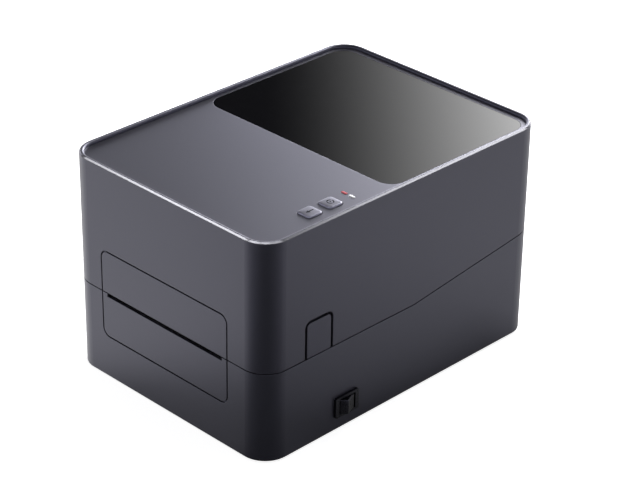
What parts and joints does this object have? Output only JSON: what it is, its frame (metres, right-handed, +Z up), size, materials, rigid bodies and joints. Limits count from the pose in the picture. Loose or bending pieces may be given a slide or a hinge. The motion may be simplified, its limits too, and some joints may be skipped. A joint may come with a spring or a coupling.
{
  "type": "thermal label printer",
  "caption": "Desktop thermal label printer with a hinged lid, smoked window, front label slot, sprung print head, geared platen roller, label guides, keys and a rocker switch.",
  "frame": {"origin": "middle of the housing's footprint, on the plane that the four feet stand on", "axes": "+X to the printer's right seen from the front, +Y from the label slot to the back, +Z up"},
  "size_m": [0.1894, 0.255, 0.1585],
  "materials": {
    "graphite_shell": "satin",
    "graphite_panel": "satin",
    "graphite_button": "satin",
    "smoked_window": "polished",
    "black_rubber": "matt",
    "black_gloss": "moulded gloss",
    "steel": "satin",
    "bronze": "sintered",
    "acetal": "satin",
    "motor_case": "satin black",
    "inner_plastic": "matt",
    "board": "solder mask",
    "socket_plastic": "moulded",
    "sink": "anodised",
    "strip": "glazed",
    "red_lens": "diffuse lens",
    "white_lens": "diffuse lens"
  },
  "bodies": {
    "base": {"base_shell": "graphite_shell", "base_front_panel": "graphite_panel", "foot_1": "black_rubber", "foot_2": "black_rubber", "foot_3": "black_rubber", "foot_4": "black_rubber", "hinge_pin_left": "steel", "hinge_pin_right": "steel", "power_switch": "black_gloss", "frame_left": "steel", "frame_right": "steel", "bushing_left": "bronze", "bushing_right": "bronze", "idler_stud": "steel", "stepper_motor": "motor_case", "motor_screw_1": "steel", "motor_screw_2": "steel", "motor_screw_3": "steel", "motor_screw_4": "steel", "tear_bar": "steel", "label_chute": "inner_plastic", "label_sensor": "inner_plastic", "media_deck": "inner_plastic", "deck_screw_1": "steel", "deck_screw_2": "steel", "deck_screw_3": "steel", "deck_screw_4": "steel", "pinion_screw": "steel", "main_board": "board", "dc_inlet": "socket_plastic", "data_port": "steel"},
    "rocker": {"power_rocker": "black_gloss"},
    "platen": {"platen_shaft": "steel", "platen_rubber": "black_rubber", "platen_gear": "acetal"},
    "idler": {"idler_gear": "acetal"},
    "pinion": {"motor_pinion": "bronze"},
    "left_guide": {"guide_left": "inner_plastic"},
    "right_guide": {"guide_right": "inner_plastic"},
    "guide_gear": {"guide_pinion": "acetal"},
    "lid": {"lid_shell": "graphite_shell", "lid_front_panel": "graphite_panel", "lid_window": "smoked_window", "red_lamp": "red_lens", "white_lamp": "white_lens", "key_board": "board", "head_beam": "steel", "beam_screw_left": "steel", "beam_screw_right": "steel", "head_spring_left": "steel", "head_spring_right": "steel"},
    "print_head": {"heat_sink": "sink", "head_strip": "strip"},
    "left_latch": {"latch_left": "graphite_button"},
    "right_latch": {"latch_right": "graphite_button"},
    "feed_button": {"feed_key": "graphite_button"},
    "cal_button": {"cal_key": "graphite_button"}
  },
  "joints": [
    {"name": "lid_hinge", "type": "hinge", "parent": "base", "child": "lid", "pos_m": [0, 0.1225, 0.07469], "axis": [-1, 0, 0], "range_deg": [0, 80]},
    {"name": "rocker_tilt", "type": "hinge", "parent": "base", "child": "rocker", "pos_m": [0.092, -0.0555, 0.0181], "axis": [0, 0, -1], "range_deg": [0, 40]},
    {"name": "platen_spin", "type": "hinge", "parent": "base", "child": "platen", "pos_m": [0, -0.108, 0.0565], "axis": [1, 0, 0], "continuous": true},
    {"name": "idler_spin", "type": "hinge", "parent": "base", "child": "idler", "pos_m": [-0.0672, -0.097, 0.03745], "axis": [1, 0, 0], "continuous": true},
    {"name": "pinion_spin", "type": "hinge", "parent": "base", "child": "pinion", "pos_m": [-0.0672, -0.07797, 0.02857], "axis": [1, 0, 0], "continuous": true},
    {"name": "guide_slide", "type": "slide", "parent": "base", "child": "left_guide", "axis": [1, 0, 0], "range_m": [0, 0.03]},
    {"name": "right_guide_slide", "type": "slide", "parent": "base", "child": "right_guide", "axis": [-1, 0, 0], "range_m": [0, 0.03]},
    {"name": "guide_gear_spin", "type": "hinge", "parent": "base", "child": "guide_gear", "pos_m": [0, 0.04, 0.0197], "axis": [0, 0, 1], "range_deg": [0, 172]},
    {"name": "head_lift", "type": "slide", "parent": "lid", "child": "print_head", "axis": [0, 0, 1], "range_m": [0, 0.001], "stiffness_N_per_m": 3000, "springref_m": -0.003, "deforming": ["head_spring_left", "head_spring_right"]},
    {"name": "left_latch_press", "type": "slide", "parent": "lid", "child": "left_latch", "axis": [1, 0, 0], "range_m": [0, 0.0025], "stiffness_N_per_m": 600, "springref_m": -0.002},
    {"name": "right_latch_press", "type": "slide", "parent": "lid", "child": "right_latch", "axis": [-1, 0, 0], "range_m": [0, 0.0025], "stiffness_N_per_m": 600, "springref_m": -0.002},
    {"name": "feed_press", "type": "slide", "parent": "lid", "child": "feed_button", "axis": [0, 0, -1], "range_m": [0, 0.0008], "stiffness_N_per_m": 400, "springref_m": -0.001},
    {"name": "cal_press", "type": "slide", "parent": "lid", "child": "cal_button", "axis": [0, 0, -1], "range_m": [0, 0.0008], "stiffness_N_per_m": 400, "springref_m": -0.001}
  ],
  "couplings": [
    {"joint": "idler_spin", "follows": "platen_spin", "ratio": -0.69231},
    {"joint": "pinion_spin", "follows": "platen_spin", "ratio": 1.125},
    {"joint": "right_guide_slide", "follows": "guide_slide", "ratio": 1},
    {"joint": "guide_gear_spin", "follows": "guide_slide", "rad_per_m": 100}
  ]
}
